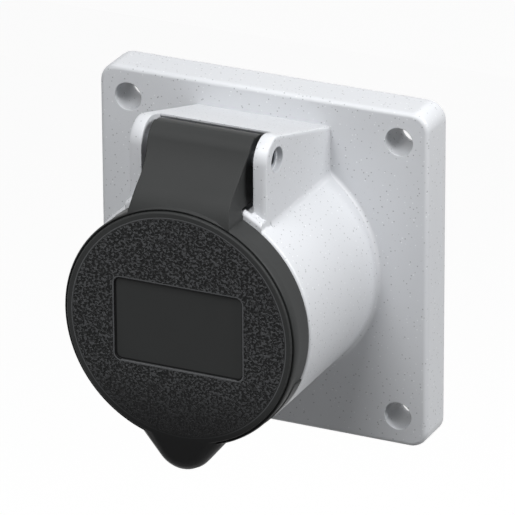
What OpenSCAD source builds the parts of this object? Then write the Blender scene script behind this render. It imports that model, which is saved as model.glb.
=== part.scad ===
// Industrial panel socket with four contacts and a sprung lid.
// The panel lies in the plane y = 0. The socket's face looks along -Y and +Z is up.
// Each sub-part is drawn in a front view: X to the right, Y up, Z out of the panel.

/* [Flange] */
// Width and height of the square flange
flange_w = 85; // [84:1:100]
// Thickness of the flange
flange_t = 10; // [9:0.5:13]
// Radius of the flange's corners
flange_corner_r = 4.5; // [3.5:0.5:8]
// Rounding of the flange's front edge
flange_edge_r = 1.2; // [0.4:0.2:2]
// Thickness of the rim round the flange's hollow back
rim_wall = 2; // [1.5:0.25:3]
// Thickness of the flange's front wall
face_wall = 3.2; // [2.5:0.1:4]
// Distance of the fixing holes from the flange's edges
hole_inset = 7.5; // [7:0.5:10]
// Diameter of the fixing holes
hole_d = 7; // [5.5:0.1:7.5]
// Wall of the boss round each fixing hole
hole_wall = 2.6; // [2:0.2:3.4]
// Thickness of the ribs in the flange's back
rib_t = 1.8; // [1.2:0.2:3]

/* [Sleeve] */
// Outer diameter of the sleeve
sleeve_d = 59.6; // [58.8:0.2:64]
// Length of the sleeve in front of the flange
sleeve_len = 38; // [36:0.5:44]
// Rounding of the sleeve's front edge
sleeve_edge_r = 0.9; // [0.3:0.1:1.2]
// Fillet where the sleeve meets the flange
sleeve_foot_r = 1; // [0.4:0.2:2]
// Diameter of the thin neck that reaches into the lid
neck_d = 52.8; // [52:0.2:53.4]
// Length of the neck
neck_len = 4.6; // [4:0.1:5]
// Diameter of the mouth that takes the plug's shroud
mouth_d = 49.4; // [48.6:0.2:50]
// Diameter of the wider bore that takes the carrier's base
rear_bore_d = 52.4; // [51.6:0.2:54]
// Depth of the wider bore from the panel
rear_bore_depth = 14; // [12:0.5:18]
// Width of the keyway at the bottom of the mouth
keyway_w = 5; // [4:0.5:6]
// Depth of the keyway below the mouth's wall
keyway_depth = 1.3; // [0.8:0.1:1.5]
// Wall round the keyway where it stands out of the neck
keyway_wall = 1.2; // [0.8:0.1:1.3]

/* [Hinge block] */
// Width across the two cheeks
block_w = 35.2; // [34:0.2:38]
// Thickness of each cheek
cheek_t = 3.4; // [2.8:0.1:4]
// Height of the hinge pin above the sleeve's axis
pin_rise = 38.8; // [38.4:0.1:39.6]
// Distance of the hinge pin from the flange's front
pin_reach = 29.8; // [29.4:0.1:30.4]
// Radius of the cheeks' rounded nose
nose_r = 5.7; // [5.2:0.1:6.2]
// Fall of the block's top towards the flange, in degrees
top_fall = 16.2; // [12:0.2:18]
// Rounding of the block's outer edges
block_edge_r = 1; // [0.4:0.1:1.6]
// Fillet between the block's sides and the sleeve
block_fillet_r = 3; // [1.5:0.5:6]
// Diameter of the hinge pin
pin_d = 5; // [4.6:0.1:5.2]
// Wall of the rolled hinge pin
pin_wall = 0.9; // [0.6:0.1:1.2]
// Width of the slot along the rolled pin
pin_slot = 1; // [0.6:0.1:1.4]
// Diameter of the sink round each end of the pin
pin_sink_d = 6.2; // [5.8:0.1:6.8]
// Depth of that sink
pin_sink = 1.4; // [1:0.1:1.8]
// Gap between the lid's knuckle and the pocket in the block
knuckle_gap = 0.5; // [0.3:0.1:0.6]
// Distance of the pocket's top lip behind the pin
lip_back = 4.5; // [4.2:0.1:5.4]
// Rise of the ledge between the cheeks above the sleeve
ledge_rise = 1.1; // [0.6:0.1:1.5]

/* [Lid] */
// Diameter of the lid's flat face
lid_face_d = 57.4; // [56.6:0.2:57.8]
// Diameter of the skirt at its open rim
lid_rim_d = 58.6; // [58.2:0.2:58.8]
// Distance from the sleeve's shoulder to the lid's face
lid_depth = 8.5; // [8.2:0.1:9.2]
// Thickness of the lid's face
lid_face_t = 2.2; // [1.8:0.1:2.5]
// Inner diameter of the skirt
lid_inner_d = 55.8; // [55.4:0.2:56]
// Depth of the groove round the lid's face
lid_groove = 0.6; // [0.3:0.1:0.9]
// Width of the groove
lid_groove_w = 0.45; // [0.3:0.05:0.6]
// Bulge of the skirt's lower part
skirt_bulge = 0.35; // [0.1:0.05:0.6]
// Length of the bulge from the rim forward
bulge_len = 4.3; // [2:0.1:4.6]
// Angle below the horizontal where the bulge starts
bulge_start = 22; // [15:1:35]
// Width of the shallow panel in the lid's face
panel_w = 32.7; // [28:0.1:36]
// Height of the shallow panel
panel_h = 20.8; // [16:0.1:24]
// Depth of the shallow panel
panel_depth = 0.6; // [0.3:0.1:1]
// Corner radius of the shallow panel
panel_r = 1.6; // [0.8:0.1:3]
// Width of the thumb tab at its round tip
tab_w = 15; // [12:0.2:18]
// Reach of the tab's tip below the sleeve's axis
tab_reach = 36.7; // [35.5:0.1:38]
// Spread of the tab's root on each side of its tip
tab_spread = 5.2; // [3:0.1:6.5]
// Thickness of the tab
tab_t = 4.6; // [3.6:0.2:6]
// Rounding of the tab's front edge
tab_edge_r = 3.2; // [2:0.2:3.4]

/* [Arm] */
// Width of the arm at the pin
arm_w = 25.6; // [24:0.2:27]
// Narrowing of the arm at its waist, each side
arm_waist = 0.8; // [0.4:0.05:1.2]
// Radius of the arm's roll round the pin
roll_r = 5.6; // [5:0.1:5.9]
// Thickness of the arm's front wall
arm_skin = 2.2; // [1.8:0.1:2.6]
// Thickness of the arm's side walls
arm_flank = 2.4; // [1.8:0.1:3]
// Gap between the arm's lower edge and the ledge below it
arm_lift = 0.4; // [0.3:0.05:0.8]
// Depth of the step across the top of the roll
roll_step = 0.45; // [0.2:0.05:0.6]
// Distance of that step in front of the pin
roll_step_ahead = 1.3; // [0:0.1:2]
// Radius of the arm's shoulder above the lid
shoulder_r = 11.6; // [10:0.2:13]
// Radius of the hollow between the roll and the shoulder
hollow_r = 25; // [18:1:40]
// Length of the spring's chamber along the pin
spring_room = 11.8; // [11.4:0.1:13]

/* [Hinge spring] */
// Wire diameter of the hinge spring
spring_wire = 0.7; // [0.5:0.05:0.8]
// Radius of the coil at the middle of the wire
spring_r = 3.4; // [3.3:0.05:3.6]
// Pitch of the coil
spring_pitch = 1.3; // [1.1:0.05:1.4]
// Whole turns of the coil
spring_turns = 7; // [5:1:7]

/* [Contacts] */
// Diameter of the circle on which the contacts lie
contact_circle = 24; // [22:0.5:26]
// Diameter of the plug's line pins
line_pin_d = 5; // [4.6:0.1:5.4]
// Diameter of the plug's earth pin
earth_pin_d = 6; // [5.6:0.1:6.4]
// Wall of the contact tubes
tube_wall = 1.3; // [1.1:0.1:1.5]
// Depth of the contacts' bores
contact_bore = 32; // [28:1:34]
// Length of the slot that makes the mouth springy
contact_slot = 16; // [10:1:20]
// Diameter of the terminal at the back of each contact
terminal_d = 9.4; // [9:0.2:10]
// Diameter of the wire hole in each terminal
wire_d = 4.2; // [3.6:0.2:4.6]
// Diameter of the terminal screws
terminal_screw_d = 3.9; // [3.4:0.1:4.1]
// Length of the terminal screws
terminal_screw_len = 5.2; // [4.6:0.1:5.6]
// Distance from the carrier's back to the terminal screws
terminal_mid = 7; // [6:0.5:8]
// Wall of the thin nose that centres each contact in the post's front wall
nose_wall = 0.55; // [0.4:0.05:0.65]
// Length of that nose
nose_len = 1; // [0.6:0.1:1.2]
// Wire of the clamp spring round each contact's mouth
clamp_wire = 0.6; // [0.4:0.05:0.7]
// Distance of the clamp spring behind the contact's shoulder
clamp_back = 4.5; // [3:0.5:8]
// Clock position of the earth contact, seen from the front
earth_hour = 7; // [1:1:12]

/* [Carrier] */
// Diameter of the carrier's post
post_d = 43; // [41:0.2:43.4]
// Distance from the mouth's edge back to the post's face
face_recess = 8.6; // [7:0.2:10]
// Thickness of the post's front wall
post_wall = 1.9; // [1.4:0.1:2.4]
// Length of the carrier behind the panel
carrier_back = 12; // [8:1:16]
// Length of the terminal block
block_len = 14; // [14:0.5:18]
// Wall of the terminal block behind the contacts
block_wall = 2; // [1.5:0.1:3]
// Distance of the carrier's ears from the axis
ear_reach = 34; // [33.5:0.1:34.5]
// Width of the ears
ear_w = 8; // [7:0.5:9]
// Thickness of the ears
ear_t = 3; // [2.4:0.1:3.4]
// Diameter of the assembly screws
screw_d = 3; // [2.6:0.1:3.2]

/* [Seals] */
// Thickness of the flange's gasket
gasket_t = 1.5; // [1:0.1:1.8]
// Thickness of the lid's seal
seal_t = 1.6; // [1.2:0.1:1.7]
// Width of the lid's seal
seal_w = 2.5; // [1.8:0.1:2.7]

/* [Fits] */
// Radial play of the pin in the knuckle
pin_play = 0.06; // [0.02:0.01:0.1]
// Radial play of the pin in the cheeks
cheek_play = 0.02; // [0.01:0.01:0.05]
// Radial play of the terminal screws
screw_play = 0.07; // [0.02:0.01:0.1]
// Play between moulded pieces that slide together
fit_play = 0.1; // [0.05:0.01:0.2]
// Radial room round the pins and the wires where they go in
entry_play = 0.7; // [0.7:0.05:0.9]
// Gap between the lid and what it closes on
lid_play = 0.15; // [0.1:0.01:0.25]

/* [Hidden] */

$fn = 64;
hull_fn = 32;
slack = 0.01;

sleeve_r = sleeve_d / 2;
sleeve_front = flange_t + sleeve_len;
neck_front = sleeve_front + neck_len;
neck_r = neck_d / 2;
mouth_r = mouth_d / 2;
rear_bore_r = rear_bore_d / 2;
hollow_top = flange_t - face_wall;
hole_pitch = flange_w - 2 * hole_inset;
ring_r = sleeve_r;

pin_z = flange_t + pin_reach;
cheek_front = pin_z + nose_r;
pocket_w = block_w - 2 * cheek_t;
pocket_r = roll_r + knuckle_gap;
pocket_floor = neck_r + 0.6;
pin_len = block_w - 2 * pin_sink;

lid_back = sleeve_front + lid_play;
lid_front = sleeve_front + lid_depth;
lid_inside = lid_front - lid_face_t;
seal_outer_r = lid_inner_d / 2 - 0.5;
skirt_front = lid_front - lid_groove;
hub_len = (arm_w - spring_room) / 2;
shoulder_z = lid_front - 0.3 - shoulder_r;
shoulder_y = 24;
foot_r = sleeve_r + ledge_rise + arm_lift;
bar_r = 0.9;
bar_z = pin_z + spring_r - spring_wire / 2 - bar_r - 0.02;
bar_y = pin_rise - spring_r - 1.1;
leg_len = 5.6;

post_front = neck_front - face_recess;
contact_front = post_front - post_wall - fit_play;
contact_back = -carrier_back - block_len + block_wall;
terminal_z = -carrier_back - terminal_mid;
flare_len = 0.6;
nose_flare = 0.3;
tube_floor = 3;
slot_w = 0.8;
ear_z = 2.4;
post_edge = 0.8;
driver_room = 0.8;
flute_w = 4;
flute_depth = 1.2;
head_sink = 4;
line_hours = [earth_hour + 3, earth_hour + 6, earth_hour + 9];
bulge_sweep = 180 - 2 * bulge_start;

// Turns a front view into the part's own frame.
module front() {
    rotate([90, 0, 0]) children();
}

// Extrudes a side view, drawn with Z to the right and Y up, across the part.
module across(width) {
    rotate([0, -90, 0]) linear_extrude(width, center = true) children();
}

// Places children on the contact circle at a clock position.
module at_hour(hour) {
    rotate([0, 0, 90 - 30 * hour]) translate([contact_circle / 2, 0, 0]) children();
}

module at_fixings() {
    for (x = [-1, 1], y = [-1, 1]) translate([x * hole_pitch / 2, y * hole_pitch / 2, 0]) children();
}

// The two ears and their screws lie on one diagonal, clear of the fixing holes.
module at_ears() {
    for (turn = [135, 315]) rotate([0, 0, turn]) children();
}

// The outline of the solid corners round the fixing holes.
module corner_pads(margin) {
    at_fixings() circle(hole_d / 2 + hole_wall + margin);
    for (x = [-1, 1], y = [-1, 1]) translate([x * flange_w / 2, y * flange_w / 2])
        square(flange_w - hole_pitch + 2 * margin, center = true);
}

module rounded_square(width, height, radius) {
    square([width - 2 * radius, height], center = true);
    square([width, height - 2 * radius], center = true);
    for (x = [-1, 1], y = [-1, 1])
        translate([x * (width / 2 - radius), y * (height / 2 - radius)]) circle(radius);
}

// A square plate with rounded corners and a rounded front edge.
module flange_plate() {
    hull() {
        for (lean = [0, 30, 60, 90]) {
            inset = flange_edge_r * (1 - cos(lean));
            linear_extrude(flange_t - flange_edge_r * (1 - sin(lean)))
                rounded_square(flange_w - 2 * inset, flange_w - 2 * inset, flange_corner_r - inset, $fn = hull_fn);
        }
    }
}

// What is left out of the flange's back: all but the rim, the bosses, the ring and the ribs.
module flange_hollow() {
    inner_w = flange_w - 2 * rim_wall;
    inner_r = flange_corner_r - rim_wall + 0.6;
    translate([0, 0, -1]) linear_extrude(1 + gasket_t) difference() {
        rounded_square(inner_w, inner_w, inner_r);
        circle(ring_r);
        corner_pads(0);
    }
    linear_extrude(hollow_top) difference() {
        rounded_square(inner_w, inner_w, inner_r);
        circle(ring_r);
        corner_pads(0);
        at_ears() translate([ear_reach, 0]) circle(ear_w / 2);
        for (turn = [0:30:330]) rotate(turn)
            translate([ring_r - 1, -rib_t / 2]) square([flange_w, rib_t]);
    }
}

module sleeve() {
    rotate_extrude($fn = 128) {
        difference() {
            union() {
                square([sleeve_r, sleeve_front - sleeve_edge_r]);
                square([sleeve_r - sleeve_edge_r, sleeve_front]);
                translate([sleeve_r - sleeve_edge_r, sleeve_front - sleeve_edge_r]) circle(sleeve_edge_r);
                translate([0, flange_t - 1]) square([sleeve_r + sleeve_foot_r, 1 + sleeve_foot_r]);
            }
            translate([sleeve_r + sleeve_foot_r, flange_t + sleeve_foot_r]) circle(sleeve_foot_r);
        }
        square([neck_r - 0.4, neck_front]);
        square([neck_r, neck_front - 0.4]);
    }
}

// The side view of the hinge block: a sloping top that runs into the cheeks' round nose.
module block_side(inset) {
    r = nose_r - inset;
    top_z = pin_z - r * sin(top_fall);
    top_y = pin_rise + r * cos(top_fall);
    foot_z = flange_t - 1;
    polygon([
        [foot_z, mouth_r / 2],
        [foot_z, top_y - tan(top_fall) * (top_z - foot_z)],
        [top_z, top_y],
        [pin_z, pin_rise],
        [pin_z + r, pin_rise],
        [pin_z + r, mouth_r / 2],
    ]);
    translate([pin_z, pin_rise]) circle(r);
}

module hinge_block() {
    hull() {
        for (lean = [0, 45, 90]) {
            across(block_w - 2 * block_edge_r * (1 - sin(lean)))
                block_side(block_edge_r * (1 - cos(lean)), $fn = hull_fn * 2);
        }
    }
    block_fillets();
    hinge_ledge();
}

// Fillets that run the block's sides into the round of the sleeve.
module block_fillets() {
    side = block_w / 2 - 0.05;
    centre_x = side + block_fillet_r;
    centre_y = sqrt(pow(sleeve_r + block_fillet_r, 2) - pow(centre_x, 2));
    reach = sleeve_r / (sleeve_r + block_fillet_r);
    for (flip = [0, 1]) mirror([flip, 0, 0])
        translate([0, 0, flange_t - 1]) linear_extrude(cheek_front - block_edge_r - flange_t) difference() {
            polygon([
                [side - 2, centre_y],
                [side, centre_y],
                [centre_x, centre_y],
                [centre_x * reach, centre_y * reach],
                [centre_x * reach - 1, centre_y * reach - 2],
                [side - 2, centre_y * reach - 2],
            ]);
            translate([centre_x, centre_y]) circle(block_fillet_r);
        }
}

// The ledge in front of the cheeks, on which the lid's arm looks down.
module hinge_ledge() {
    ledge_r = sleeve_r + ledge_rise;
    half = asin(block_w / 2 / sleeve_r);
    depth = sleeve_front - cheek_front;
    ledge_inset = 0.3;
    intersection() {
        rotate([0, 0, 90 - half]) rotate_extrude(angle = 2 * half, $fn = 128) {
            translate([mouth_r, cheek_front - 2]) square([ledge_r - mouth_r, depth + 2 - sleeve_edge_r]);
            translate([mouth_r, cheek_front - 2]) square([ledge_r - mouth_r - sleeve_edge_r, depth + 2]);
            translate([ledge_r - sleeve_edge_r, sleeve_front - sleeve_edge_r]) circle(sleeve_edge_r);
        }
        translate([ledge_inset - block_w / 2, 0, 0]) cube([block_w - 2 * ledge_inset, flange_w, neck_front]);
    }
}

// The room between the cheeks for the knuckle, open to the front and above.
module hinge_pocket() {
    across(pocket_w) {
        translate([pin_z, pin_rise]) circle(pocket_r);
        translate([pin_z - pocket_r, pocket_floor]) square([pocket_r + nose_r + 1, pin_rise - pocket_floor]);
        translate([pin_z - lip_back, pin_rise]) square([lip_back + nose_r + 1, nose_r + 4]);
    }
    across(arm_w - 0.4) translate([cheek_front - 1, pocket_floor]) square([neck_front, nose_r + 4]);
}

module housing() {
    leg_hole_r = spring_wire / 2 + 0.2;
    color("#b7babd") front() difference() {
        union() {
            difference() {
                flange_plate();
                flange_hollow();
            }
            sleeve();
            hinge_block();
            keyway_rib();
        }
        translate([0, 0, rear_bore_depth - slack]) cylinder(neck_front, r = mouth_r, $fn = 128);
        translate([0, 0, -slack]) cylinder(rear_bore_depth + slack, r = rear_bore_r, $fn = 128);
        translate([-keyway_w / 2, -mouth_r - keyway_depth, rear_bore_depth + 4])
            cube([keyway_w, mouth_r, neck_front]);
        at_ears() translate([mouth_r - 2, -ear_w / 2 - fit_play, -slack])
            cube([ear_reach - mouth_r + 2, ear_w + 2 * fit_play, ear_z + ear_t + slack]);
        at_ears() translate([ear_reach, 0, -slack])
            cylinder(ear_z + ear_t + slack, r = ear_w / 2 + fit_play);
        at_ears() translate([ear_reach, 0, 0]) cylinder(flange_t - 1.2, d = screw_d);
        at_fixings() translate([0, 0, -slack]) cylinder(flange_t + 1, d = hole_d);
        hinge_pocket();
        across(block_w + 2) translate([pin_z, pin_rise]) circle(pin_d / 2 + cheek_play);
        for (side = [-1, 1]) translate([side * block_w / 2, 0, 0])
            across(2 * pin_sink) translate([pin_z, pin_rise]) circle(d = pin_sink_d);
        translate([-spring_leg_x(), 0, pin_z - spring_r]) rotate([90, 0, 0])
            translate([0, 0, -pocket_floor - slack]) cylinder(1.7, r = leg_hole_r);
    }
}

// The keyway's wall stands out of the neck below it.
module keyway_rib() {
    outer_r = mouth_r + keyway_depth + keyway_wall;
    intersection() {
        translate([0, 0, sleeve_front - 1]) cylinder(neck_len + 1, r = outer_r, $fn = 128);
        translate([-keyway_w / 2 - 1.6, -outer_r - 1, sleeve_front - 1]) cube([keyway_w + 3.2, 8, neck_len + 1]);
    }
}

module flange_gasket() {
    outer_w = flange_w - 2 * rim_wall - 0.4;
    color("#2c2d2f") front() linear_extrude(gasket_t) difference() {
        rounded_square(outer_w, outer_w, flange_corner_r - rim_wall + 0.4);
        circle(ring_r + fit_play);
        corner_pads(fit_play);
        at_ears() translate([ear_reach, 0]) circle(ear_w / 2 + 0.6);
    }
}

module contact_carrier() {
    base_top = rear_bore_depth;
    base_back = ear_z + 0.3;
    color("#3b3d40") front() difference() {
        union() {
            translate([0, 0, base_top - 1]) cylinder(post_front - base_top + 1 - post_edge, d = post_d, $fn = 96);
            translate([0, 0, post_front - post_edge])
                cylinder(post_edge, r1 = post_d / 2, r2 = post_d / 2 - post_edge, $fn = 96);
            translate([0, 0, base_back]) cylinder(base_top - base_back, r = rear_bore_r - fit_play, $fn = 96);
            translate([0, 0, -carrier_back]) cylinder(ear_z + carrier_back + 1, d = post_d, $fn = 96);
            at_ears() translate([0, 0, ear_z]) linear_extrude(ear_t - slack) {
                translate([0, -ear_w / 2]) square([ear_reach, ear_w]);
                translate([ear_reach, 0]) circle(ear_w / 2);
            }
        }
        at_hour(earth_hour) chamber(earth_pin_d);
        for (hour = line_hours) at_hour(hour) chamber(line_pin_d);
        at_ears() translate([ear_reach, 0, 0]) cylinder(flange_t, d = screw_d + 0.4);
        translate([0, 0, -carrier_back - slack]) cylinder(14, d = screw_d);
    }
}

// The bore that holds one contact tube, with the pin's entry hole in front of it.
module chamber(pin) {
    entry_r = pin / 2 + entry_play;
    translate([0, 0, -carrier_back - slack])
        cylinder(contact_front + carrier_back + fit_play, d = pin + 2 * tube_wall + 2 * fit_play);
    translate([0, 0, contact_front]) cylinder(post_wall + 1, r = entry_r);
    translate([0, 0, post_front - flare_len]) cylinder(flare_len + slack, r1 = entry_r, r2 = entry_r + flare_len);
}

module terminal_block() {
    back = -carrier_back - block_len;
    wire_entry_r = wire_d / 2 + entry_play;
    color("#3b3d40") front() difference() {
        union() {
            translate([0, 0, back + post_edge]) cylinder(block_len - post_edge, d = post_d, $fn = 96);
            translate([0, 0, back])
                cylinder(post_edge, r1 = post_d / 2 - post_edge, r2 = post_d / 2, $fn = 96);
        }
        for (hour = [earth_hour, line_hours[0], line_hours[1], line_hours[2]]) at_hour(hour) {
            translate([0, 0, contact_back - fit_play])
                cylinder(block_len, d = terminal_d + 2 * fit_play);
            translate([0, 0, back - slack]) cylinder(block_wall + 1, r = wire_entry_r);
            translate([0, 0, back - slack]) cylinder(1.2, r1 = wire_entry_r + 1, r2 = wire_entry_r);
            translate([0, 0, terminal_z]) rotate([0, 90, 0])
                cylinder(post_d, r = terminal_screw_d / 2 + driver_room);
        }
        for (hour = line_hours) rotate([0, 0, 45 - 30 * hour])
            translate([post_d / 2 - flute_depth, -flute_w / 2, back - slack])
                cube([2 * flute_depth, flute_w, block_len + 1]);
        translate([0, 0, back - slack]) cylinder(block_len + 1, d = screw_d + 0.4);
        translate([0, 0, back - slack]) cylinder(head_sink, d = 2 * screw_d + 0.6);
    }
}

// A slotted brass tube with a round wire terminal at its back.
module contact(pin) {
    tube_r = pin / 2 + tube_wall;
    mouth = contact_front + nose_len;
    tube_back = contact_front - contact_bore - tube_floor;
    color("#c9a24b") difference() {
        union() {
            translate([0, 0, tube_back]) cylinder(contact_front - tube_back, r = tube_r);
            translate([0, 0, contact_front - 1]) cylinder(nose_len + 1, r = pin / 2 + nose_wall);
            translate([0, 0, -carrier_back - 1]) cylinder(tube_back + carrier_back + 2, r = pin / 2);
            translate([0, 0, contact_back]) cylinder(-carrier_back - contact_back, d = terminal_d);
        }
        translate([0, 0, contact_front - contact_bore]) cylinder(contact_bore + nose_len + 1, d = pin);
        translate([0, 0, mouth - nose_flare]) cylinder(nose_flare + slack, r1 = pin / 2, r2 = pin / 2 + nose_flare);
        translate([-slot_w / 2, -tube_r - 1, contact_front - contact_slot])
            cube([slot_w, 2 * tube_r + 2, contact_slot + nose_len + 1]);
        translate([0, 0, contact_front - clamp_back]) clamp_groove(tube_r);
        translate([0, 0, contact_back - slack]) cylinder(terminal_z - contact_back + 3, d = wire_d);
        translate([0, 0, terminal_z]) rotate([0, 90, 0])
            cylinder(terminal_d, d = terminal_screw_d + 2 * screw_play);
    }
}

module clamp_groove(tube_r) {
    rotate_extrude() translate([tube_r - clamp_wire, -clamp_wire / 2 - 0.05])
        square([2, clamp_wire + 0.1]);
}

// An open ring of spring wire in the groove near the contact's mouth.
module clamp_spring(pin) {
    ring_mid = pin / 2 + tube_wall - clamp_wire / 2;
    color("#9aa0a6") translate([0, 0, contact_front - clamp_back])
        rotate([0, 0, 110]) rotate_extrude(angle = 320)
            translate([ring_mid + 0.01, 0]) circle(clamp_wire / 2, $fn = 24);
}

// A slotted headless screw that presses on the wire.
module terminal_screw() {
    color("#a9adb2") translate([wire_d / 2 + 0.1, 0, terminal_z]) rotate([0, 90, 0]) difference() {
        union() {
            cylinder(0.5, d1 = terminal_screw_d - 1, d2 = terminal_screw_d);
            translate([0, 0, 0.5]) cylinder(terminal_screw_len - 0.5, d = terminal_screw_d);
        }
        translate([-terminal_screw_d, -0.35, terminal_screw_len - 1.1]) cube([2 * terminal_screw_d, 0.7, 2]);
    }
}

// A pan-head screw that points forward, with its head's seat at z = 0.
module pan_screw(length) {
    head_r = screw_d * 0.93;
    difference() {
        union() {
            cylinder(length, d = screw_d - 0.04);
            translate([0, 0, -1]) cylinder(1, r = head_r);
            translate([0, 0, -1.6]) cylinder(0.6, r1 = head_r - 0.7, r2 = head_r);
        }
        for (turn = [0, 90]) rotate([0, 0, turn])
            translate([-head_r * 0.55, -0.35, -2]) cube([head_r * 1.1, 0.7, 1.3]);
    }
}

module carrier_screws() {
    color("#a9adb2") front() at_ears() translate([ear_reach, 0, ear_z]) pan_screw(flange_t - ear_z - 1.4);
}

module block_screw() {
    seat = -carrier_back - block_len + head_sink;
    color("#a9adb2") front() translate([0, 0, seat]) pan_screw(block_len + head_sink);
}

// The lid: face, skirt, thumb tab and hinge arm in one moulding.
module lid() {
    color("#26282a") front() difference() {
        union() {
            lid_shell();
            lid_tab();
            arm();
        }
        translate([0, 0, lid_back - 14]) cylinder(lid_inside - lid_back + 14, d = lid_inner_d, $fn = 128);
        keyway_room();
        lid_panel();
        arm_hollow();
        across(spring_room) translate([pin_z, pin_rise]) circle(spring_r + spring_wire + 0.3);
        across(arm_w + 1) translate([pin_z, pin_rise]) circle(pin_d / 2 + pin_play);
    }
}

// The arm stops short of the groove round the lid's face and of the ledge behind it.
module arm() {
    difference() {
        intersection() {
            across(arm_w) arm_side(0);
            arm_outline();
        }
        translate([0, 0, pin_z - roll_r]) cylinder(lid_back - pin_z + roll_r, r = foot_r, $fn = 128);
        rotate_extrude($fn = 128) translate([lid_face_d / 2, skirt_front - 0.5]) square([lid_groove_w, 4]);
        across(arm_w + 1) top_step();
    }
}

// The revolved face and skirt, with the groove round the face.
module lid_shell() {
    face_r = lid_face_d / 2;
    rim_r = lid_rim_d / 2;
    groove_r = face_r + lid_groove_w;
    rotate_extrude($fn = 128) {
        difference() {
            union() {
                translate([0, lid_back]) square([face_r, lid_front - lid_back - 0.4]);
                translate([0, lid_back]) square([face_r - 0.4, lid_front - lid_back]);
                translate([face_r - 0.4, lid_front - 0.4]) circle(0.4);
                polygon([
                    [0, lid_back],
                    [rim_r, lid_back],
                    [rim_r, lid_back + 3],
                    [groove_r + 0.35, skirt_front - 0.4],
                    [groove_r + 0.1, skirt_front],
                    [0, skirt_front],
                ]);
            }
            translate([face_r, skirt_front - 0.5]) square([lid_groove_w, 2]);
        }
    }
    rotate([0, 0, 180 + bulge_start]) rotate_extrude(angle = bulge_sweep, $fn = 128)
        polygon([
            [rim_r - 1, lid_back],
            [rim_r + skirt_bulge, lid_back],
            [rim_r + skirt_bulge, lid_back + bulge_len - skirt_bulge],
            [rim_r, lid_back + bulge_len],
            [rim_r - 1, lid_back + bulge_len],
        ]);
}

// The tab is a round-ended tongue whose front edge is rolled over.
module lid_tab() {
    tip_r = tab_w / 2;
    tip_y = tip_r - tab_reach;
    root_r = tip_r + tab_spread;
    root_y = tip_y + 8.2;
    hull() {
        for (lean = [0, 30, 60, 90]) {
            inset = tab_edge_r * (1 - cos(lean));
            height = tab_t - tab_edge_r * (1 - sin(lean));
            translate([0, 0, lid_front - tab_t]) linear_extrude(height) {
                translate([0, tip_y]) circle(tip_r - inset, $fn = 48);
                translate([0, root_y]) circle(root_r - inset, $fn = 48);
            }
        }
    }
}

// Room inside the skirt for the wall of the keyway.
module keyway_room() {
    room_r = mouth_r + keyway_depth + keyway_wall + 1.7;
    intersection() {
        translate([0, 0, lid_back - 1]) cylinder(lid_inside - lid_back + 1, r = room_r, $fn = 128);
        translate([-keyway_w / 2 - 3, -room_r - 1, lid_back - 1]) cube([keyway_w + 6, 10, lid_inside]);
    }
}

module lid_panel() {
    floor_z = lid_front - panel_depth;
    translate([0, 0, floor_z]) linear_extrude(panel_depth + 1) rounded_square(panel_w, panel_h, panel_r);
}

// The side view of the arm: a roll round the pin, a shallow hollow and a round shoulder.
module arm_side(inset) {
    roll = roll_r - inset;
    shoulder = shoulder_r - inset;
    hollow = hollow_r + inset;
    gap_z = shoulder_z - pin_z;
    gap_y = shoulder_y - pin_rise;
    gap = norm([gap_z, gap_y]);
    along = (pow(roll + hollow, 2) - pow(shoulder + hollow, 2) + gap * gap) / (2 * gap);
    aside = sqrt(pow(roll + hollow, 2) - along * along);
    centre = [pin_z + (along * gap_z - aside * gap_y) / gap,
              pin_rise + (along * gap_y + aside * gap_z) / gap];
    roll_touch = [pin_z, pin_rise] + (centre - [pin_z, pin_rise]) * roll / (roll + hollow);
    shoulder_touch = [shoulder_z, shoulder_y]
        + (centre - [shoulder_z, shoulder_y]) * shoulder / (shoulder + hollow);
    translate([pin_z, pin_rise]) circle(roll);
    intersection() {
        translate([shoulder_z, shoulder_y]) circle(shoulder, $fn = 96);
        translate([lid_back, shoulder_y - 2]) square([lid_depth, shoulder_r]);
    }
    difference() {
        polygon([
            [pin_z, pin_rise],
            roll_touch,
            centre,
            shoulder_touch,
            [shoulder_touch[0] - 0.2, shoulder_y],
            [lid_back, shoulder_y],
            [lid_back, pocket_floor],
            [pin_z + 3, pocket_floor],
            [pin_z - 1.5, pin_rise - roll_r + 0.7],
        ]);
        translate(centre) circle(hollow, $fn = 128);
    }
}

// The front view of the arm, drawn in to a waist at mid-height.
module arm_outline() {
    waist_r = 30;
    waist_y = 34;
    linear_extrude(lid_front + 1) difference() {
        translate([-arm_w / 2, 20]) square([arm_w, pin_rise]);
        for (side = [-1, 1])
            translate([side * (arm_w / 2 - arm_waist + waist_r), waist_y]) circle(waist_r, $fn = 128);
    }
}

// The arm is open behind, between its side walls, with a bar that takes the spring's leg.
module arm_hollow() {
    difference() {
        across(arm_w - 2 * arm_flank) difference() {
            union() {
                arm_side(arm_skin);
                translate([pin_z - roll_r - 1, pin_rise - roll_r - 8]) square([shoulder_z - pin_z + roll_r + 4, roll_r + 7]);
            }
            translate([lid_front - lid_face_t, 0]) square([lid_face_t + 1, pin_rise]);
        }
        for (side = [-1, 1]) translate([side * (spring_room / 2 + hub_len / 2), 0, 0])
            across(hub_len) translate([pin_z, pin_rise]) circle(roll_r - 0.4);
        across(arm_w) translate([bar_z, bar_y]) circle(bar_r);
        translate([0, 0, lid_back]) cylinder(lid_depth, d = lid_inner_d + 2.6, $fn = 128);
        across(arm_w) arm_skin_band();
    }
}

// The band of the front wall that the hollow leaves standing.
module arm_skin_band() {
    difference() {
        arm_side(0);
        arm_side(arm_skin);
        translate([pin_z - roll_r - 1, pin_rise - roll_r - 8]) square([roll_r + 3.5, roll_r + 7]);
    }
}

// A step along the top of the roll, where the front wall ends.
module top_step() {
    difference() {
        translate([pin_z - roll_r - 1, pin_rise]) square([roll_r + 1 + roll_step_ahead, roll_r + 1]);
        translate([pin_z, pin_rise]) circle(roll_r - roll_step);
    }
}

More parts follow.
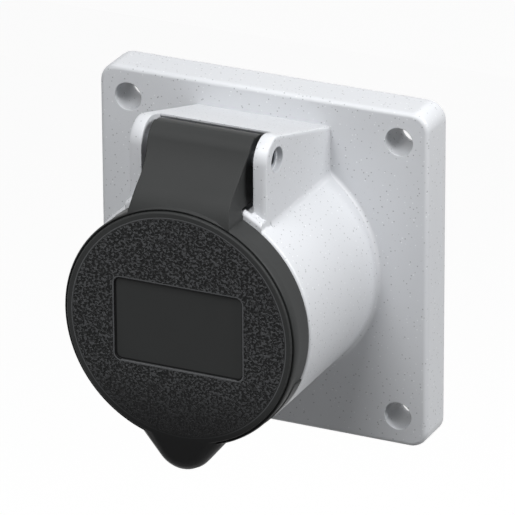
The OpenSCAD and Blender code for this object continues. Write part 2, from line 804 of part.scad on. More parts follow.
module lid_seal() {
    color("#3a3b3d") front() translate([0, 0, lid_inside - seal_t]) difference() {
        cylinder(seal_t, r = seal_outer_r, $fn = 96);
        translate([0, 0, -1]) cylinder(seal_t + 2, r = seal_outer_r - seal_w, $fn = 96);
    }
}

// A rolled pin: a slotted tube that springs tight in the cheeks.
module hinge_pin() {
    outer = pin_d / 2;
    slot_half = asin(pin_slot / 2 / outer);
    color("#8e9398") front() translate([-pin_len / 2, pin_rise, pin_z]) rotate([0, 90, 0])
        rotate([0, 0, 40 + slot_half]) rotate_extrude(angle = 360 - 2 * slot_half)
            polygon([
                [outer - pin_wall, 0],
                [outer - 0.3, 0],
                [outer, 0.5],
                [outer, pin_len - 0.5],
                [outer - 0.3, pin_len],
                [outer - pin_wall, pin_len],
            ]);
}

function spring_leg_x() = spring_pitch * spring_turns / 2;

// One point of the coil, seen from the side as [x, y, z]; the coil winds over the pin to the front.
function coil_point(turn) =
    let (angle = 180 - 360 * turn)
    [spring_pitch * turn - spring_leg_x(), pin_rise + spring_r * sin(angle), pin_z + spring_r * cos(angle)];

// The coil runs half a turn past its last whole turn, so that its second leg leaves in front.
spring_steps = 12;
spring_end = coil_point(spring_turns + 0.5);
spring_path = concat(
    [[-spring_leg_x(), pocket_floor - 1.4, pin_z - spring_r]],
    [for (i = [0:(spring_turns + 0.5) * spring_steps]) coil_point(i / spring_steps)],
    [spring_end - [0, leg_len, 0]]
);

// Sweeps a round wire along a path.
module wire(path, diameter, sides = 7) {
    last = len(path) - 1;
    rings = [for (i = [0:last])
        let (
            ahead = path[min(i + 1, last)] - path[max(i - 1, 0)],
            dir = ahead / norm(ahead),
            guess = abs(dir[0]) < 0.8 ? [1, 0, 0] : [0, 1, 0],
            across_a = cross(dir, guess) / norm(cross(dir, guess)),
            across_b = cross(dir, across_a)
        )
        for (k = [0:sides - 1])
            path[i] + diameter / 2 * (cos(360 * k / sides) * across_a + sin(360 * k / sides) * across_b)
    ];
    faces = concat(
        [[for (k = [0:sides - 1]) k]],
        [for (i = [0:last - 1], k = [0:sides - 1])
            [i * sides + k, (i + 1) * sides + k, (i + 1) * sides + (k + 1) % sides, i * sides + (k + 1) % sides]],
        [[for (k = [sides - 1:-1:0]) last * sides + k]]
    );
    polyhedron(rings, faces, convexity = 8);
}

module hinge_spring() {
    color("#a9adb2") front() wire(spring_path, spring_wire);
}

module contact_earth() {
    front() at_hour(earth_hour) contact(earth_pin_d);
}

module contact_line(index) {
    front() at_hour(line_hours[index]) contact(line_pin_d);
}

module clamp_spring_earth() {
    front() at_hour(earth_hour) clamp_spring(earth_pin_d);
}

module clamp_spring_line(index) {
    front() at_hour(line_hours[index]) clamp_spring(line_pin_d);
}

module terminal_screw_at(hour) {
    front() at_hour(hour) terminal_screw();
}

housing();
flange_gasket();
contact_carrier();
terminal_block();
contact_earth();
contact_line(0);  // contact_l1
contact_line(1);  // contact_l2
contact_line(2);  // contact_l3
clamp_spring_earth();
clamp_spring_line(0);  // clamp_spring_l1
clamp_spring_line(1);  // clamp_spring_l2
clamp_spring_line(2);  // clamp_spring_l3
terminal_screw_at(earth_hour);  // terminal_screw_earth
terminal_screw_at(line_hours[0]);  // terminal_screw_l1
terminal_screw_at(line_hours[1]);  // terminal_screw_l2
terminal_screw_at(line_hours[2]);  // terminal_screw_l3
carrier_screws();
block_screw();
lid();
lid_seal();
hinge_pin();
hinge_spring();
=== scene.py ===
import math

import bmesh
import bpy
from mathutils import Matrix, Vector


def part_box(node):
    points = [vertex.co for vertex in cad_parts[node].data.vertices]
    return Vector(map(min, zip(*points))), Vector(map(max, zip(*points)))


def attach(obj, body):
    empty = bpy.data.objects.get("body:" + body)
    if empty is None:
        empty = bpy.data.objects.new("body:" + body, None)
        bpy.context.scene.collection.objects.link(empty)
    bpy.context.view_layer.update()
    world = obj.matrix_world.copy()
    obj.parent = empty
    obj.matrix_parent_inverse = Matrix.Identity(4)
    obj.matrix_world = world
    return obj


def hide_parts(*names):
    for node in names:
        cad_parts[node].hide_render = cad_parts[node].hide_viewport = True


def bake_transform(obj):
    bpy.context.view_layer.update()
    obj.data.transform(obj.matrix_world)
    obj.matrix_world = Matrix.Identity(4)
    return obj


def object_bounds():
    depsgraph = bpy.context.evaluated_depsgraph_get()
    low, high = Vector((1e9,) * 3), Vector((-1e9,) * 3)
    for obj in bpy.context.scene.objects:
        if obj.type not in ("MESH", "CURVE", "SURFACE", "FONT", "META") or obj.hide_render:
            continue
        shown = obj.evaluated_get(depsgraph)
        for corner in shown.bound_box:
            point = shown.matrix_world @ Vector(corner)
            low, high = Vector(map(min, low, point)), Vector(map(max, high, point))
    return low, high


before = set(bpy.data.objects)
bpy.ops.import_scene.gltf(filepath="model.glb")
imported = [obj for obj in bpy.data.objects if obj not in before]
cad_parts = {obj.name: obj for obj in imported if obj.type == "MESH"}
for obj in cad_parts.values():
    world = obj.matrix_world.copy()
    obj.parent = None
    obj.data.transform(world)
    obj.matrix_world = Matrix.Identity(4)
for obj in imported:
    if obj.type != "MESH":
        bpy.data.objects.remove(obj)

cad_low, cad_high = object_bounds()

# ---------------------------------------------------------------------------
# Camera. It stands above and to the right of the socket's face, far enough
# away that the square flange keeps nearly parallel sides.
# ---------------------------------------------------------------------------
CAMERA_AZIMUTH = math.radians(25.07)
CAMERA_ELEVATION = math.radians(23.30)
CAMERA_ROLL = math.radians(-0.322)
CAMERA_PLACE = Vector((0.53605, -1.15893, 0.54569))
SENSOR_MM = 36.0
LENS_MM = 407.55

camera_back = Vector((
    math.sin(CAMERA_AZIMUTH) * math.cos(CAMERA_ELEVATION),
    -math.cos(CAMERA_AZIMUTH) * math.cos(CAMERA_ELEVATION),
    math.sin(CAMERA_ELEVATION),
))
level_right = Vector((math.cos(CAMERA_AZIMUTH), math.sin(CAMERA_AZIMUTH), 0))
level_up = camera_back.cross(level_right)
camera_right = level_right * math.cos(CAMERA_ROLL) + level_up * math.sin(CAMERA_ROLL)
camera_up = level_up * math.cos(CAMERA_ROLL) - level_right * math.sin(CAMERA_ROLL)

camera_data = bpy.data.cameras.new("socket_camera")
camera_data.sensor_width = SENSOR_MM
camera_data.lens = LENS_MM
camera_data.clip_start = 0.05
camera_data.clip_end = 20
camera = bpy.data.objects.new("socket_camera", camera_data)
bpy.context.scene.collection.objects.link(camera)
camera.matrix_world = Matrix.Translation(CAMERA_PLACE) @ Matrix(
    (camera_right, camera_up, camera_back)).transposed().to_4x4()
bpy.context.scene.camera = camera
bpy.context.scene.view_settings.view_transform = "Standard"


# ---------------------------------------------------------------------------
# Studio. A pale sweep of paper far below and behind, a soft box overhead that
# throws the shadow, and others in front, behind and to the right.
# ---------------------------------------------------------------------------
def linear(hex_colour):
    """An sRGB hex colour as linear red, green, blue and alpha."""
    channels = [int(hex_colour[i:i + 2], 16) / 255 for i in (0, 2, 4)]
    return tuple(c / 12.92 if c <= 0.04045 else ((c + 0.055) / 1.055) ** 2.4 for c in channels) + (1.0,)


def add(tree, kind, feeds=None, **settings):
    """Adds one node. Settings are its properties, and feeds are its inputs' values,
    or the nodes and outputs that lead into them; a list leads several into one."""
    made = tree.nodes.new(kind)
    for name, value in settings.items():
        setattr(made, name, value)
    for name, value in (feeds or {}).items():
        for source in value if isinstance(value, list) else [value]:
            if isinstance(source, bpy.types.Node):
                source = source.outputs[0]
            if isinstance(source, bpy.types.NodeSocket):
                tree.links.new(source, made.inputs[name])
            else:
                made.inputs[name].default_value = source
    return made


PAPER_DROP = 0.45
PAPER_BACK = 1.2
PAPER_SIZE = 4.0
PAPER_BEND = 0.5
PAPER_BEND_STEPS = 12
PAPER_GREY = "9A9A9A"
PAPER_GLOW = 0.9
AIR_LIGHT = 0.12

# The paper looks white to the camera and in gloss, but throws little light back.
paper = bpy.data.materials.new("studio_paper")
paper.use_nodes = True
tree = paper.node_tree
tree.nodes.clear()
rays = add(tree, "ShaderNodeLightPath").outputs
mirrored = add(tree, "ShaderNodeMath", {0: rays["Is Camera Ray"], 1: rays["Is Glossy Ray"]}, operation="MAXIMUM")
seen = add(tree, "ShaderNodeMath", {0: mirrored, 1: rays["Is Transmission Ray"]}, operation="MAXIMUM")
strength = add(tree, "ShaderNodeMath", {0: seen, 1: PAPER_GLOW}, operation="MULTIPLY")
glow = add(tree, "ShaderNodeEmission", {"Color": (1, 1, 1, 1), "Strength": strength})
matt = add(tree, "ShaderNodeBsdfDiffuse", {"Color": linear(PAPER_GREY)})
both = add(tree, "ShaderNodeAddShader", {0: matt, 1: glow})
add(tree, "ShaderNodeOutputMaterial", {"Surface": both})

floor_height = cad_low.z - PAPER_DROP
profile = [(-PAPER_SIZE, floor_height), (PAPER_BACK, floor_height)]
for i in range(1, PAPER_BEND_STEPS + 1):
    turn = math.radians(90) * i / PAPER_BEND_STEPS
    profile.append((PAPER_BACK + PAPER_BEND * math.sin(turn), floor_height + PAPER_BEND * (1 - math.cos(turn))))
profile.append((PAPER_BACK + PAPER_BEND, floor_height + PAPER_SIZE))
shape = bmesh.new()
edges = [[shape.verts.new((side * PAPER_SIZE, y, z)) for side in (-1, 1)] for y, z in profile]
for low, high in zip(edges, edges[1:]):
    shape.faces.new((low[0], low[1], high[1], high[0]))
sweep_mesh = bpy.data.meshes.new("studio_sweep")
shape.to_mesh(sweep_mesh)
shape.free()
sweep_mesh.materials.append(paper)
sweep = bpy.data.objects.new("studio_sweep", sweep_mesh)
bpy.context.scene.collection.objects.link(sweep)

world = bpy.data.worlds.new("studio_air")
bpy.context.scene.world = world
world.use_nodes = True
tree = world.node_tree
tree.nodes.clear()
rays = add(tree, "ShaderNodeLightPath").outputs
mirrored = add(tree, "ShaderNodeMath", {0: rays["Is Camera Ray"], 1: rays["Is Glossy Ray"]}, operation="MAXIMUM")
seen = add(tree, "ShaderNodeMath", {0: mirrored, 1: rays["Is Transmission Ray"]}, operation="MAXIMUM")
strength = add(tree, "ShaderNodeMapRange", {"Value": seen, "To Min": AIR_LIGHT, "To Max": 1.0})
air = add(tree, "ShaderNodeBackground", {"Color": (1, 1, 1, 1), "Strength": strength})
add(tree, "ShaderNodeOutputWorld", {"Surface": air})

# Each soft box: its name, where it stands, the side of its square face and its watts.
SOFT_BOXES = (
    ("overhead_box", (0.0, -0.30, 0.47), 0.28, 2.05),
    ("front_box", (-0.12, -0.72, 0.60), 0.35, 1.5),
    ("rear_box", (0.05, 0.42, 0.60), 0.30, 0.9),
    ("right_box", (0.66, -0.05, 0.46), 0.40, 5.6),
)

middle = (cad_low + cad_high) / 2
for name, place, side, watts in SOFT_BOXES:
    lamp_data = bpy.data.lights.new(name, "AREA")
    lamp_data.shape = "RECTANGLE"
    lamp_data.size = side
    lamp_data.size_y = side
    lamp_data.energy = watts
    lamp = bpy.data.objects.new(name, lamp_data)
    bpy.context.scene.collection.objects.link(lamp)
    facing = (middle - Vector(place)).to_track_quat("-Z", "Y")
    lamp.matrix_world = Matrix.Translation(place) @ facing.to_matrix().to_4x4()


# ---------------------------------------------------------------------------
# Housing. Flange, sleeve and hinge block are one injection moulding in light
# grey polyamide. The moulding has a satin skin and small specks of filler.
# ---------------------------------------------------------------------------
HOUSING_GREY = "C9CBCE"
HOUSING_SHADE = "C4C6CA"
DARK_SPECK = "939598"
LIGHT_SPECK = "DDDFE1"
CLOUD_SIZE = 0.03
SPECK_SPACING = 0.0012
SPECK_RADIUS = 0.00012
SPECK_FADE = 1.7
LIGHT_SPECK_SPACING = SPECK_SPACING * 1.3
LIGHT_SPECK_SHIFT = (0.011, 0.0077, 0.0143)
SKIN_SIZE = 0.0006
SKIN_DEPTH = 0.00002
HOUSING_EDGE = 0.00025
EDGE_SAMPLES = 6
FLAT_WIDTH = 0.003
FLAT_WEIGHT = 1e4
SAME_PLANE = 0.999998
SMOOTH_TURN = math.cos(math.radians(38))
WELD = 2e-7

# A Mix node's sockets for colours.
FACTOR, FIRST, SECOND, MIXED = 0, 6, 7, 2


def material(name):
    """An empty material, its tree, and the object's own coordinates."""
    made = bpy.data.materials.new(name)
    made.use_nodes = True
    made.node_tree.nodes.clear()
    return made, made.node_tree, add(made.node_tree, "ShaderNodeTexCoord").outputs["Object"]


# Grey polyamide from a satin mould: soft gloss, a very slightly uneven grey, and
# specks about 0.3 mm across. The skin's texture is finer in reality than the
# 0.6 mm here, at which it still shows.
grey_polyamide, tree, where = material("moulded_grey_polyamide")
cloud = add(tree, "ShaderNodeTexNoise", {"Vector": where, "Scale": 1 / CLOUD_SIZE, "Detail": 2.0})
tone = add(tree, "ShaderNodeMix", {
    FACTOR: cloud, FIRST: linear(HOUSING_GREY), SECOND: linear(HOUSING_SHADE)}, data_type="RGBA").outputs[MIXED]
for spacing, shift, colour in (
        (SPECK_SPACING, (0.0, 0.0, 0.0), DARK_SPECK),
        (LIGHT_SPECK_SPACING, LIGHT_SPECK_SHIFT, LIGHT_SPECK)):
    moved = add(tree, "ShaderNodeMapping", {"Vector": where, "Location": shift})
    cells = add(tree, "ShaderNodeTexVoronoi", {"Vector": moved, "Scale": 1 / spacing}, feature="F1")
    spot = add(tree, "ShaderNodeMapRange", {
        "Value": cells, "From Min": SPECK_RADIUS / spacing, "From Max": SPECK_RADIUS / spacing * SPECK_FADE,
        "To Min": 1.0, "To Max": 0.0})
    tone = add(tree, "ShaderNodeMix", {
        FACTOR: spot, FIRST: tone, SECOND: linear(colour)}, data_type="RGBA").outputs[MIXED]
fine = add(tree, "ShaderNodeTexNoise", {"Vector": where, "Scale": 1 / SKIN_SIZE, "Detail": 3.0})
eased = add(tree, "ShaderNodeBevel", {"Radius": HOUSING_EDGE}, samples=EDGE_SAMPLES)
skin = add(tree, "ShaderNodeBump", {"Strength": 0.12, "Distance": SKIN_DEPTH, "Height": fine, "Normal": eased})
shader = add(tree, "ShaderNodeBsdfPrincipled", {
    "Base Color": tone, "Normal": skin, "Roughness": 0.42, "IOR": 1.53})
add(tree, "ShaderNodeOutputMaterial", {"Surface": shader})


def moulded_copy(node, name):
    """A clean copy of a part whose rounded edges are shaded smooth and whose flats stay flat."""
    shape = bmesh.new()
    shape.from_mesh(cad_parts[node].data)
    bmesh.ops.remove_doubles(shape, verts=shape.verts, dist=WELD)
    shape.normal_update()
    shape.faces.ensure_lookup_table()
    # Triangles that lie in one plane form a flat, if it is wider than a facet of a curve.
    flat = [None] * len(shape.faces)
    for first in shape.faces:
        if flat[first.index] is not None:
            continue
        flat[first.index], patch, waiting = False, [first], [first]
        while waiting:
            for edge in waiting.pop().edges:
                for other in edge.link_faces:
                    if flat[other.index] is None and other.normal.dot(first.normal) > SAME_PLANE:
                        flat[other.index] = False
                        patch.append(other)
                        waiting.append(other)
        area = sum(face.calc_area() for face in patch)
        length = max(edge.calc_length() for face in patch for edge in face.edges)
        for face in patch:
            flat[face.index] = area / length > FLAT_WIDTH
    # A corner takes the mean of the faces that turn little from its own, and flats outweigh the rest.
    corners = []
    for face in shape.faces:
        for corner in face.loops:
            normal = Vector((0, 0, 0))
            for near in corner.vert.link_loops:
                if near.face.normal.dot(face.normal) > SMOOTH_TURN:
                    weight = FLAT_WEIGHT if flat[near.face.index] else 1
                    normal += near.face.normal * near.calc_angle() * weight
            corners.append(normal.normalized())
    made = bpy.data.meshes.new(name)
    shape.to_mesh(made)
    shape.free()
    made.materials.clear()
    made.shade_smooth()
    made.normals_split_custom_set(corners)
    piece = bpy.data.objects.new(name, made)
    bpy.context.scene.collection.objects.link(piece)
    return piece


housing_shell = moulded_copy("housing", "housing_shell")
housing_shell.data.materials.append(grey_polyamide)
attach(housing_shell, "socket")
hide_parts("housing")


# ---------------------------------------------------------------------------
# Insert. The contact carrier and the terminal block behind it are moulded in
# black heat-proof polyamide with a duller skin than the housing's.
# ---------------------------------------------------------------------------
INSERT_BLACK = "2E3033"
INSERT_WORN = "3A3C40"
INSERT_CLOUD = 0.012
INSERT_SKIN = 0.0005
INSERT_DEPTH = 0.00003

# Heat-proof black polyamide: a dull, faintly clouded black with a dry skin.
black_insert, tree, where = material("moulded_black_insert")
cloud = add(tree, "ShaderNodeTexNoise", {"Vector": where, "Scale": 1 / INSERT_CLOUD, "Detail": 4.0})
tone = add(tree, "ShaderNodeMix", {
    FACTOR: cloud, FIRST: linear(INSERT_BLACK), SECOND: linear(INSERT_WORN)}, data_type="RGBA").outputs[MIXED]
fine = add(tree, "ShaderNodeTexNoise", {"Vector": where, "Scale": 1 / INSERT_SKIN, "Detail": 3.0})
skin = add(tree, "ShaderNodeBump", {"Strength": 0.25, "Distance": INSERT_DEPTH, "Height": fine})
shader = add(tree, "ShaderNodeBsdfPrincipled", {
    "Base Color": tone, "Normal": skin, "Roughness": 0.5, "IOR": 1.53})
add(tree, "ShaderNodeOutputMaterial", {"Surface": shader})


def dress(node, finish):
    """Gives a part that keeps its own mesh its finish."""
    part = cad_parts[node]
    part.data.materials.clear()
    part.data.materials.append(finish)


for node in ("contact_carrier", "terminal_block"):
    dress(node, black_insert)


# ---------------------------------------------------------------------------
# Contacts. Four turned brass sleeves with slotted mouths, which carry rings
# from the lathe tool around them.
# ---------------------------------------------------------------------------
POLES = ("earth", "l1", "l2", "l3")
BRASS_YELLOW = "C9A558"
BRASS_DULL = "A88443"
TARNISH_SIZE = 0.004
RING_DEPTH = 0.00002
RING_SCALE = 1 / 0.007

# Turned brass: yellow metal with duller patches. Tool marks are far finer in
# reality, and these rings are about 2 mm apart so that they show.
turned_brass, tree, where = material("turned_brass")
tarnish = add(tree, "ShaderNodeTexNoise", {"Vector": where, "Scale": 1 / TARNISH_SIZE, "Detail": 5.0})
tone = add(tree, "ShaderNodeMix", {
    FACTOR: tarnish, FIRST: linear(BRASS_YELLOW), SECOND: linear(BRASS_DULL)}, data_type="RGBA").outputs[MIXED]
rings = add(tree, "ShaderNodeTexWave", {"Vector": where, "Scale": RING_SCALE, "Distortion": 0.6},
            bands_direction="Y")
skin = add(tree, "ShaderNodeBump", {"Strength": 0.2, "Distance": RING_DEPTH, "Height": rings.outputs["Fac"]})
shader = add(tree, "ShaderNodeBsdfPrincipled", {
    "Base Color": tone, "Normal": skin, "Roughness": 0.3, "Metallic": 1.0})
add(tree, "ShaderNodeOutputMaterial", {"Surface": shader})

for pole in POLES:
    dress("contact_" + pole, turned_brass)


# ---------------------------------------------------------------------------
# Screws, pin and clamp springs. The screws and the rolled hinge pin are zinc
# plated steel, and a ring of drawn wire clamps each contact's slotted mouth.
# ---------------------------------------------------------------------------
ZINC_BRIGHT = "C3C7CC"
ZINC_DULL = "999DA3"
STAIN_SIZE = 0.0018
WIRE_GREY = "A4A8AE"
WIRE_DARK = "7C8086"
STREAK_SIZE = 0.0015

# Zinc plating: bright with a faint blue cast, and stains that are also duller.
plated_zinc, tree, where = material("zinc_plated_steel")
stain = add(tree, "ShaderNodeTexNoise", {"Vector": where, "Scale": 1 / STAIN_SIZE, "Detail": 5.0})
tone = add(tree, "ShaderNodeMix", {
    FACTOR: stain, FIRST: linear(ZINC_BRIGHT), SECOND: linear(ZINC_DULL)}, data_type="RGBA").outputs[MIXED]
rough = add(tree, "ShaderNodeMapRange", {"Value": stain, "To Min": 0.28, "To Max": 0.5})
shader = add(tree, "ShaderNodeBsdfPrincipled", {"Base Color": tone, "Roughness": rough, "Metallic": 1.0})
add(tree, "ShaderNodeOutputMaterial", {"Surface": shader})

for node in ["carrier_screws", "block_screw", "hinge_pin"] + ["terminal_screw_" + pole for pole in POLES]:
    dress(node, plated_zinc)

# Drawn spring wire: grey steel, darker where the die's grease stayed on.
drawn_wire, tree, where = material("drawn_spring_wire")
streak = add(tree, "ShaderNodeTexNoise", {"Vector": where, "Scale": 1 / STREAK_SIZE, "Detail": 3.0})
tone = add(tree, "ShaderNodeMix", {
    FACTOR: streak, FIRST: linear(WIRE_GREY), SECOND: linear(WIRE_DARK)}, data_type="RGBA").outputs[MIXED]
shader = add(tree, "ShaderNodeBsdfPrincipled", {"Base Color": tone, "Roughness": 0.34, "Metallic": 1.0})
add(tree, "ShaderNodeOutputMaterial", {"Surface": shader})

for pole in POLES:
    dress("clamp_spring_" + pole, drawn_wire)


# ---------------------------------------------------------------------------
# Hinge spring. A torsion spring of drawn wire sits on the pin and shuts the
# lid: one leg stands in a hole of the housing and the other bears on the arm.
# ---------------------------------------------------------------------------
COIL_WIRE = 0.0007
COIL_RADIUS = 0.0034
COIL_PITCH = 0.0013
COIL_WHOLE_TURNS = 7
COIL_LEG = 0.0056
COIL_STEPS = 28
WIRE_SIDES = 12

pin_middle = sum(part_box("hinge_pin"), Vector()) / 2
coil_start = pin_middle - Vector((COIL_PITCH * COIL_WHOLE_TURNS / 2, 0, 0))
coil_end = coil_start + Vector((COIL_PITCH * (COIL_WHOLE_TURNS + 0.5), 0, 0))
rear_top = coil_start + Vector((0, COIL_RADIUS, 0))
front_top = coil_end - Vector((0, COIL_RADIUS, 0))
coil_sizes = {
    "Wire": COIL_WIRE, "Radius": COIL_RADIUS, "Pitch": COIL_PITCH, "Turns": COIL_WHOLE_TURNS + 0.5,
    "Coil Start": coil_start, "Rear Top": rear_top, "Front Top": front_top,
    "Rear Foot": Vector((rear_top.x, rear_top.y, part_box("hinge_spring")[0].z)),
    "Front Foot": front_top - Vector((0, 0, COIL_LEG)),
}

winding = bpy.data.node_groups.new("wound_spring", "GeometryNodeTree")
winding.interface.new_socket("Geometry", in_out="OUTPUT", socket_type="NodeSocketGeometry")
coil_inputs = {
    label: winding.interface.new_socket(
        label, in_out="INPUT",
        socket_type="NodeSocketVector" if isinstance(size, Vector) else "NodeSocketFloat").identifier
    for label, size in coil_sizes.items()}
given = add(winding, "NodeGroupInput").outputs
coil_length = add(winding, "ShaderNodeMath", {0: given["Pitch"], 1: given["Turns"]}, operation="MULTIPLY")
coil = add(winding, "GeometryNodeCurveSpiral", {
    "Resolution": COIL_STEPS, "Reverse": True, "Rotations": given["Turns"], "Start Radius": given["Radius"],
    "End Radius": given["Radius"], "Height": coil_length})
laid = add(winding, "GeometryNodeTransform", {
    "Geometry": coil, "Translation": given["Coil Start"],
    "Rotation": (math.radians(90), 0, math.radians(90))})
rear_leg = add(winding, "GeometryNodeCurvePrimitiveLine", {"Start": given["Rear Foot"], "End": given["Rear Top"]})
front_leg = add(winding, "GeometryNodeCurvePrimitiveLine", {
    "Start": given["Front Top"], "End": given["Front Foot"]})
whole = add(winding, "GeometryNodeJoinGeometry", {0: [laid, rear_leg, front_leg]})
half_wire = add(winding, "ShaderNodeMath", {0: given["Wire"], 1: 0.5}, operation="MULTIPLY")
ring = add(winding, "GeometryNodeCurvePrimitiveCircle", {"Resolution": WIRE_SIDES, "Radius": half_wire})
swept = add(winding, "GeometryNodeCurveToMesh", {"Curve": whole, "Profile Curve": ring, "Fill Caps": True})
round_wire = add(winding, "GeometryNodeSetShadeSmooth", {"Geometry": swept})
real = add(winding, "GeometryNodeRealizeInstances", {"Geometry": round_wire})
finished = add(winding, "GeometryNodeSetMaterial", {"Geometry": real, "Material": drawn_wire})
add(winding, "NodeGroupOutput", {"Geometry": finished})

wound_spring = bpy.data.objects.new("wound_spring", bpy.data.meshes.new("wound_spring"))
bpy.context.scene.collection.objects.link(wound_spring)
maker = wound_spring.modifiers.new("winding", "NODES")
maker.node_group = winding
for label, size in coil_sizes.items():
    maker[coil_inputs[label]] = size
evaluated = wound_spring.evaluated_get(bpy.context.evaluated_depsgraph_get())
wound_mesh = bpy.data.meshes.new_from_object(evaluated)
wound_spring.modifiers.clear()
wound_spring.data = wound_mesh
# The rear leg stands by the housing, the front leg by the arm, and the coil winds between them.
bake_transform(wound_spring)
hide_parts("hinge_spring")


# ---------------------------------------------------------------------------
# Seals. The flange's gasket is a flat rubber sheet with the openings punched
# out, and the seal is a moulded rubber ring pressed into the lid.
# ---------------------------------------------------------------------------
RUBBER_BLACK = "232425"
RUBBER_DUST = "3B3B3B"
DUST_SIZE = 0.006
DUST_DEPTH = 0.00004

# Black rubber: a dull skin, greyer where dust has settled.
seal_rubber, tree, where = material("seal_rubber")
dust = add(tree, "ShaderNodeTexNoise", {"Vector": where, "Scale": 1 / DUST_SIZE, "Detail": 6.0})
tone = add(tree, "ShaderNodeMix", {
    FACTOR: dust, FIRST: linear(RUBBER_BLACK), SECOND: linear(RUBBER_DUST)}, data_type="RGBA").outputs[MIXED]
skin = add(tree, "ShaderNodeBump", {"Strength": 0.3, "Distance": DUST_DEPTH, "Height": dust})
shader = add(tree, "ShaderNodeBsdfPrincipled", {
    "Base Color": tone, "Normal": skin, "Roughness": 0.72, "IOR": 1.52})
add(tree, "ShaderNodeOutputMaterial", {"Surface": shader})

for node in ("flange_gasket", "lid_seal"):
    dress(node, seal_rubber)


# ---------------------------------------------------------------------------
# Lid. One black polyamide moulding. Its face has a leather-like grain inside
# a smooth rim and round the smooth shallow panel, and the arm is satin.
# ---------------------------------------------------------------------------
LID_BLACK = "383939"
LID_SHADE = "323333"
# Painted shade in the grain's pits and painted highlight on its tops.
GRAIN_PIT_SHADE = "191A1A"
GRAIN_HIGHLIGHT = "525355"
# Painted highlight colour along the panel's lip and the rim.
BORDER_HIGHLIGHT = "5E5F61"
# Painted shade colour, for the panel's step line and for the face towards the pull tab.
PAINTED_SHADE_BLACK = "0C0C0D"
LID_CLOUD = 0.02
LID_EDGE = 0.0003
LID_SKIN = 0.0007
GRAIN_SIZE = 0.00062
GRAIN_DEPTH = 0.00040
GRAIN_LOW = 0.36
GRAIN_HIGH = 0.64
SKIN_SHARE = 0.02
GRAIN_RIM = 0.0270
FACE_DEPTH = 0.0003
# Radius and half width of the painted highlight line round the rim.
RIM_LINE = 0.0273
RIM_LINE_HALF = 0.00012
PANEL_HALF_WIDTH = 0.01635
PANEL_HALF_HEIGHT = 0.0104
PANEL_CORNER = 0.0016
LIP_WIDTH = 0.00035
STEP_WIDTH = LIP_WIDTH * 1.2
# Heights between which the face is painted darker towards the pull tab as shade, and how much its grain fades
# there.
TAB_SHADE_FROM = -0.010
TAB_SHADE_TO = -0.030
TAB_GRAIN_FADE = 0.55

# Black polyamide from a mould etched with a fine leather grain of 0.6 mm: low
# gloss, with painted highlight on top of the grain and painted shade in its pits.
black_polyamide, tree, where = material("moulded_black_polyamide")

# How far each point is from the lid's axis, and how far outside the panel's rounded outline.
upright = add(tree, "ShaderNodeVectorMath", {0: where, 1: (1, 0, 1)}, operation="MULTIPLY")
from_axis = add(tree, "ShaderNodeVectorMath", {0: upright}, operation="LENGTH").outputs["Value"]
quarter = add(tree, "ShaderNodeVectorMath", {0: upright}, operation="ABSOLUTE")
past = add(tree, "ShaderNodeVectorMath", {
    0: quarter, 1: (PANEL_HALF_WIDTH - PANEL_CORNER, 0, PANEL_HALF_HEIGHT - PANEL_CORNER)}, operation="SUBTRACT")
past_corner = add(tree, "ShaderNodeVectorMath", {0: past, 1: (0, 0, 0)}, operation="MAXIMUM")
outside = add(tree, "ShaderNodeVectorMath", {0: past_corner}, operation="LENGTH").outputs["Value"]
past_sides = add(tree, "ShaderNodeSeparateXYZ", {"Vector": past}).outputs
nearest = add(tree, "ShaderNodeMath", {0: past_sides["X"], 1: past_sides["Z"]}, operation="MAXIMUM")
inside = add(tree, "ShaderNodeMath", {0: nearest, 1: 0.0}, operation="MINIMUM")
from_corner = add(tree, "ShaderNodeMath", {0: outside, 1: inside}, operation="ADD")
off_panel = add(tree, "ShaderNodeMath", {0: from_corner, 1: PANEL_CORNER}, operation="SUBTRACT")

# The grain covers the face between the panel's lip and the rim, and only the face.
place = add(tree, "ShaderNodeSeparateXYZ", {"Vector": where}).outputs
on_face = add(tree, "ShaderNodeMath", {0: place["Y"], 1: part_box("lid")[0].y + FACE_DEPTH}, operation="LESS_THAN")
in_rim = add(tree, "ShaderNodeMath", {0: from_axis, 1: GRAIN_RIM}, operation="LESS_THAN")
past_lip = add(tree, "ShaderNodeMath", {0: off_panel, 1: LIP_WIDTH}, operation="GREATER_THAN")
round_panel = add(tree, "ShaderNodeMath", {0: in_rim, 1: past_lip}, operation="MULTIPLY")
grained = add(tree, "ShaderNodeMath", {0: round_panel, 1: on_face}, operation="MULTIPLY")

# The face is painted darker towards the pull tab, as painted shade, and its grain fades there.
tab_shade_ramp = add(tree, "ShaderNodeMapRange", {
    "Value": place["Z"], "From Min": TAB_SHADE_FROM, "From Max": TAB_SHADE_TO}, interpolation_type="SMOOTHSTEP")
grain_fade = add(tree, "ShaderNodeMath", {0: tab_shade_ramp, 1: TAB_GRAIN_FADE}, operation="MULTIPLY")
kept = add(tree, "ShaderNodeMath", {0: 1.0, 1: grain_fade}, operation="SUBTRACT")
grain = add(tree, "ShaderNodeMath", {0: grained, 1: kept}, operation="MULTIPLY")

pebble = add(tree, "ShaderNodeTexNoise", {
    "Vector": where, "Scale": 1 / GRAIN_SIZE, "Detail": 1.0, "Roughness": 0.35, "Distortion": 0.6})
rise = add(tree, "ShaderNodeMapRange", {
    "Value": pebble, "From Min": GRAIN_LOW, "From Max": GRAIN_HIGH}, interpolation_type="SMOOTHSTEP")
grain_tops = add(tree, "ShaderNodeMath", {0: rise, 1: grain}, operation="MULTIPLY")
fall = add(tree, "ShaderNodeMath", {0: 1.0, 1: rise}, operation="SUBTRACT")
painted_pit_shade = add(tree, "ShaderNodeMath", {0: fall, 1: grain}, operation="MULTIPLY")
fine = add(tree, "ShaderNodeTexNoise", {"Vector": where, "Scale": 1 / LID_SKIN, "Detail": 3.0})
faint = add(tree, "ShaderNodeMath", {0: fine, 1: SKIN_SHARE}, operation="MULTIPLY")
relief = add(tree, "ShaderNodeMath", {0: grain_tops, 1: faint}, operation="ADD")
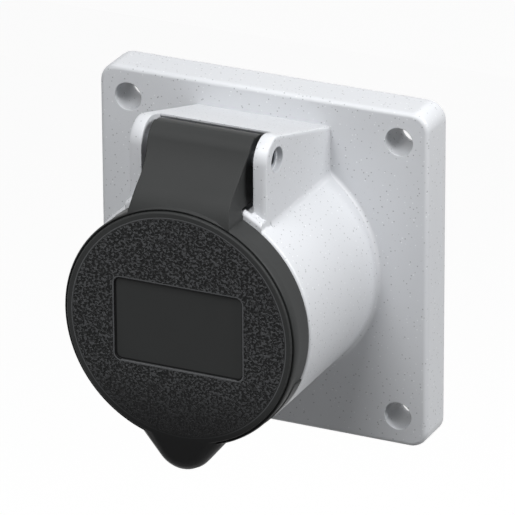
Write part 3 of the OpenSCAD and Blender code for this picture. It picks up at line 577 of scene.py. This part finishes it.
eased = add(tree, "ShaderNodeBevel", {"Radius": LID_EDGE}, samples=EDGE_SAMPLES)
skin = add(tree, "ShaderNodeBump", {
    "Strength": 1.0, "Distance": GRAIN_DEPTH, "Height": relief, "Normal": eased})

# A painted highlight runs as a pale line along the panel's lip and the rim, and painted shade as a dark line along
# the panel's step.
along_lip = add(tree, "ShaderNodeMath", {0: off_panel, 1: LIP_WIDTH / 2, 2: LIP_WIDTH / 2}, operation="COMPARE")
along_rim = add(tree, "ShaderNodeMath", {0: from_axis, 1: RIM_LINE, 2: RIM_LINE_HALF}, operation="COMPARE")
painted_step_shade = add(tree, "ShaderNodeMath", {
    0: off_panel, 1: -STEP_WIDTH / 2, 2: STEP_WIDTH / 2}, operation="COMPARE")
edges = add(tree, "ShaderNodeMath", {0: along_lip, 1: along_rim}, operation="MAXIMUM")
painted_highlight_edges = add(tree, "ShaderNodeMath", {0: edges, 1: on_face}, operation="MULTIPLY")

cloud = add(tree, "ShaderNodeTexNoise", {"Vector": where, "Scale": 1 / LID_CLOUD, "Detail": 3.0})
tone = add(tree, "ShaderNodeMix", {
    FACTOR: cloud, FIRST: linear(LID_BLACK), SECOND: linear(LID_SHADE)}, data_type="RGBA").outputs[MIXED]
for where_laid, amount, colour in (
        # painted highlight on the grain's tops and painted shade in its pits
        (grain_tops, 0.8, GRAIN_HIGHLIGHT),
        (painted_pit_shade, 0.9, GRAIN_PIT_SHADE),
        # painted highlight along the lip and rim, then painted shade along the panel's step
        (painted_highlight_edges, 0.8, BORDER_HIGHLIGHT),
        (painted_step_shade, 0.8, PAINTED_SHADE_BLACK),
        # painted shade, darker towards the pull tab
        (tab_shade_ramp, 0.92, PAINTED_SHADE_BLACK)):
    share = add(tree, "ShaderNodeMath", {0: where_laid, 1: amount}, operation="MULTIPLY")
    tone = add(tree, "ShaderNodeMix", {
        FACTOR: share, FIRST: tone, SECOND: linear(colour)}, data_type="RGBA").outputs[MIXED]
shader = add(tree, "ShaderNodeBsdfPrincipled", {
    "Base Color": tone, "Normal": skin, "Roughness": 0.42, "IOR": 1.53, "Specular IOR Level": 0.08})
add(tree, "ShaderNodeOutputMaterial", {"Surface": shader})

lid_moulding = moulded_copy("lid", "lid_moulding")
lid_moulding.data.materials.append(black_polyamide)
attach(lid_moulding, "lid")
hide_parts("lid")
